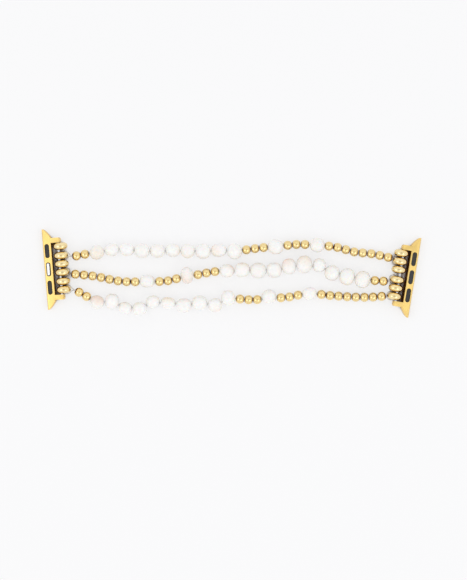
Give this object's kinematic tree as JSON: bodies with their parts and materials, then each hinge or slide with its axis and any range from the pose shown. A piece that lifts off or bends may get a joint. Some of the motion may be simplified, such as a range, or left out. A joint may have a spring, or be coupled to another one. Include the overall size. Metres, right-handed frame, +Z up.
{
  "type": "watch strap",
  "caption": "Stretch strap of gold beads and pearls on clear elastic, with slide-in lug ends that lock into a watch case.",
  "frame": {"origin": "middle of the strap's footprint, on the surface it lies on", "axes": "+X along the strap towards the lug that lies wide face down, +Y across it, +Z up from the surface"},
  "size_m": [0.1614, 0.0377, 0.0076],
  "materials": {
    "bead_gold": "polished",
    "pearl": "pearly gloss",
    "elastic": "clear gloss",
    "rondelle_gold": "polished",
    "lug_gold": "satin plated",
    "pin_steel": "polished",
    "pad_rubber": "matte",
    "housing_plastic": "matte",
    "button_steel": "satin",
    "spring_steel": "satin"
  },
  "bodies": {
    "span_1": {"gold_beads_1": "bead_gold", "pearls_1": "pearl"},
    "span_2": {"gold_beads_2": "bead_gold", "pearls_2": "pearl"},
    "span_3": {"gold_beads_3": "bead_gold", "pearls_3": "pearl"},
    "span_4": {"gold_beads_4": "bead_gold", "pearls_4": "pearl"},
    "span_5": {"gold_beads_5": "bead_gold", "pearls_5": "pearl"},
    "span_6": {"gold_beads_6": "bead_gold", "pearls_6": "pearl", "top_elastic": "elastic", "middle_elastic": "elastic", "bottom_elastic": "elastic"},
    "span_7": {"gold_beads_7": "bead_gold", "pearls_7": "pearl"},
    "span_8": {"gold_beads_8": "bead_gold", "pearls_8": "pearl"},
    "span_9": {"gold_beads_9": "bead_gold", "pearls_9": "pearl"},
    "span_10": {"gold_beads_10": "bead_gold", "pearls_10": "pearl"},
    "span_11": {"gold_beads_11": "bead_gold"},
    "left_pin": {"left_pin": "pin_steel"},
    "left_lug": {"left_lug": "lug_gold", "left_lug_ears": "lug_gold", "left_friction_pads": "pad_rubber", "left_lock_housing": "housing_plastic", "left_lock_spring": "spring_steel"},
    "left_lock_button": {"left_lock_button": "button_steel"},
    "left_rondelle_1": {"left_rondelle_1": "rondelle_gold"},
    "left_rondelle_2": {"left_rondelle_2": "rondelle_gold"},
    "left_rondelle_3": {"left_rondelle_3": "rondelle_gold"},
    "left_rondelle_4": {"left_rondelle_4": "rondelle_gold"},
    "left_rondelle_5": {"left_rondelle_5": "rondelle_gold"},
    "left_rondelle_6": {"left_rondelle_6": "rondelle_gold"},
    "right_pin": {"right_pin": "pin_steel"},
    "right_lug": {"right_lug": "lug_gold", "right_lug_ears": "lug_gold", "right_friction_pads": "pad_rubber", "right_lock_housing": "housing_plastic", "right_lock_spring": "spring_steel"},
    "right_lock_button": {"right_lock_button": "button_steel"},
    "right_rondelle_1": {"right_rondelle_1": "rondelle_gold"},
    "right_rondelle_2": {"right_rondelle_2": "rondelle_gold"},
    "right_rondelle_3": {"right_rondelle_3": "rondelle_gold"},
    "right_rondelle_4": {"right_rondelle_4": "rondelle_gold"},
    "right_rondelle_5": {"right_rondelle_5": "rondelle_gold"},
    "right_rondelle_6": {"right_rondelle_6": "rondelle_gold"}
  },
  "joints": [
    {"name": "strap_bend", "type": "hinge", "parent": "span_6", "child": "span_7", "pos_m": [0.0084, 0.00017, 0.0037], "axis": [0.0218, -0.9998, 0], "range_deg": [0, 26], "deforming": ["top_elastic", "middle_elastic", "bottom_elastic"]},
    {"name": "bend_7", "type": "hinge", "parent": "span_7", "child": "span_8", "pos_m": [0.02208, 0.0012, 0.0039], "axis": [0.0178, -0.9998, 0], "range_deg": [0, 26]},
    {"name": "bend_8", "type": "hinge", "parent": "span_8", "child": "span_9", "pos_m": [0.03457, 0.0023, 0.0037], "axis": [0.0791, -0.9969, 0], "range_deg": [0, 26]},
    {"name": "bend_9", "type": "hinge", "parent": "span_9", "child": "span_10", "pos_m": [0.04671, 0.00037, 0.0042], "axis": [0.0119, -0.9999, 0], "range_deg": [0, 26]},
    {"name": "bend_10", "type": "hinge", "parent": "span_10", "child": "span_11", "pos_m": [0.05951, -0.00153, 0.0034], "axis": [-0.0791, -0.9969, 0], "range_deg": [0, 26]},
    {"name": "bend_5", "type": "hinge", "parent": "span_6", "child": "span_5", "pos_m": [-0.00381, -0.0004, 0.0033], "axis": [0.0509, 0.9987, 0], "range_deg": [0, 26]},
    {"name": "bend_4", "type": "hinge", "parent": "span_5", "child": "span_4", "pos_m": [-0.01613, -0.00137, 0.0036], "axis": [0.0356, 0.9994, 0], "range_deg": [0, 26]},
    {"name": "bend_3", "type": "hinge", "parent": "span_4", "child": "span_3", "pos_m": [-0.02908, -0.00197, 0.0033], "axis": [0.0473, 0.9989, 0], "range_deg": [0, 26]},
    {"name": "bend_2", "type": "hinge", "parent": "span_3", "child": "span_2", "pos_m": [-0.04206, -0.00267, 0.0033], "axis": [0.0158, 0.9999, 0], "range_deg": [0, 26]},
    {"name": "bend_1", "type": "hinge", "parent": "span_2", "child": "span_1", "pos_m": [-0.05386, -0.0015, 0.0033], "axis": [-0.0029, 1, 0], "range_deg": [0, 26]},
    {"name": "left_end_stretch", "type": "slide", "parent": "span_1", "child": "left_pin", "axis": [-0.9968, -0.0802, 0], "range_m": [0, 0.006], "stiffness_N_per_m": 300},
    {"name": "left_lug_swing", "type": "hinge", "parent": "left_pin", "child": "left_lug", "pos_m": [-0.07284, 0.0022, 0.00305], "axis": [-0.0802, 0.9968, 0], "range_deg": [-50, 80]},
    {"name": "left_lock_press", "type": "slide", "parent": "left_lug", "child": "left_lock_button", "axis": [0.2411, 0.0194, -0.9703], "range_m": [0, 0.00035], "stiffness_N_per_m": 500, "springref_m": -0.0003, "deforming": ["left_lock_spring"]},
    {"name": "left_rondelle_1_spin", "type": "hinge", "parent": "left_pin", "child": "left_rondelle_1", "pos_m": [-0.0727, 0.01168, 0.00305], "axis": [0.0802, -0.9968, 0], "continuous": true},
    {"name": "left_rondelle_2_spin", "type": "hinge", "parent": "left_pin", "child": "left_rondelle_2", "pos_m": [-0.07239, 0.00774, 0.00305], "axis": [0.0802, -0.9968, 0], "continuous": true},
    {"name": "left_rondelle_3_spin", "type": "hinge", "parent": "left_pin", "child": "left_rondelle_3", "pos_m": [-0.0721, 0.00418, 0.00305], "axis": [0.0802, -0.9968, 0], "continuous": true},
    {"name": "left_rondelle_4_spin", "type": "hinge", "parent": "left_pin", "child": "left_rondelle_4", "pos_m": [-0.07181, 0.00059, 0.00305], "axis": [0.0802, -0.9968, 0], "continuous": true},
    {"name": "left_rondelle_5_spin", "type": "hinge", "parent": "left_pin", "child": "left_rondelle_5", "pos_m": [-0.07151, -0.00322, 0.00305], "axis": [0.0802, -0.9968, 0], "continuous": true},
    {"name": "left_rondelle_6_spin", "type": "hinge", "parent": "left_pin", "child": "left_rondelle_6", "pos_m": [-0.07122, -0.00677, 0.00305], "axis": [0.0802, -0.9968, 0], "continuous": true},
    {"name": "right_end_stretch", "type": "slide", "parent": "span_11", "child": "right_pin", "axis": [0.9866, -0.1633, 0], "range_m": [0, 0.006], "stiffness_N_per_m": 300},
    {"name": "right_lug_swing", "type": "hinge", "parent": "right_pin", "child": "right_lug", "pos_m": [0.07148, -0.00076, 0.00305], "axis": [-0.1633, -0.9866, 0], "range_deg": [-50, 80]},
    {"name": "right_lock_press", "type": "slide", "parent": "right_lug", "child": "right_lock_button", "axis": [0.2387, -0.0395, 0.9703], "range_m": [0, 0.00035], "stiffness_N_per_m": 500, "springref_m": -0.0003, "deforming": ["right_lock_spring"]},
    {"name": "right_rondelle_1_spin", "type": "hinge", "parent": "right_pin", "child": "right_rondelle_1", "pos_m": [0.07214, 0.00873, 0.00305], "axis": [-0.1633, -0.9866, 0], "continuous": true},
    {"name": "right_rondelle_2_spin", "type": "hinge", "parent": "right_pin", "child": "right_rondelle_2", "pos_m": [0.07156, 0.00521, 0.00305], "axis": [-0.1633, -0.9866, 0], "continuous": true},
    {"name": "right_rondelle_3_spin", "type": "hinge", "parent": "right_pin", "child": "right_rondelle_3", "pos_m": [0.07098, 0.00169, 0.00305], "axis": [-0.1633, -0.9866, 0], "continuous": true},
    {"name": "right_rondelle_4_spin", "type": "hinge", "parent": "right_pin", "child": "right_rondelle_4", "pos_m": [0.07027, -0.00255, 0.00305], "axis": [-0.1633, -0.9866, 0], "continuous": true},
    {"name": "right_rondelle_5_spin", "type": "hinge", "parent": "right_pin", "child": "right_rondelle_5", "pos_m": [0.06969, -0.00606, 0.00305], "axis": [-0.1633, -0.9866, 0], "continuous": true},
    {"name": "right_rondelle_6_spin", "type": "hinge", "parent": "right_pin", "child": "right_rondelle_6", "pos_m": [0.06911, -0.00958, 0.00305], "axis": [-0.1633, -0.9866, 0], "continuous": true}
  ],
  "couplings": [
    {"joint": "bend_7", "follows": "strap_bend", "ratio": 1},
    {"joint": "bend_8", "follows": "strap_bend", "ratio": 1},
    {"joint": "bend_9", "follows": "strap_bend", "ratio": 1},
    {"joint": "bend_10", "follows": "strap_bend", "ratio": 1},
    {"joint": "bend_5", "follows": "strap_bend", "ratio": 1},
    {"joint": "bend_4", "follows": "strap_bend", "ratio": 1},
    {"joint": "bend_3", "follows": "strap_bend", "ratio": 1},
    {"joint": "bend_2", "follows": "strap_bend", "ratio": 1},
    {"joint": "bend_1", "follows": "strap_bend", "ratio": 1},
    {"joint": "right_end_stretch", "follows": "left_end_stretch", "ratio": 1}
  ]
}
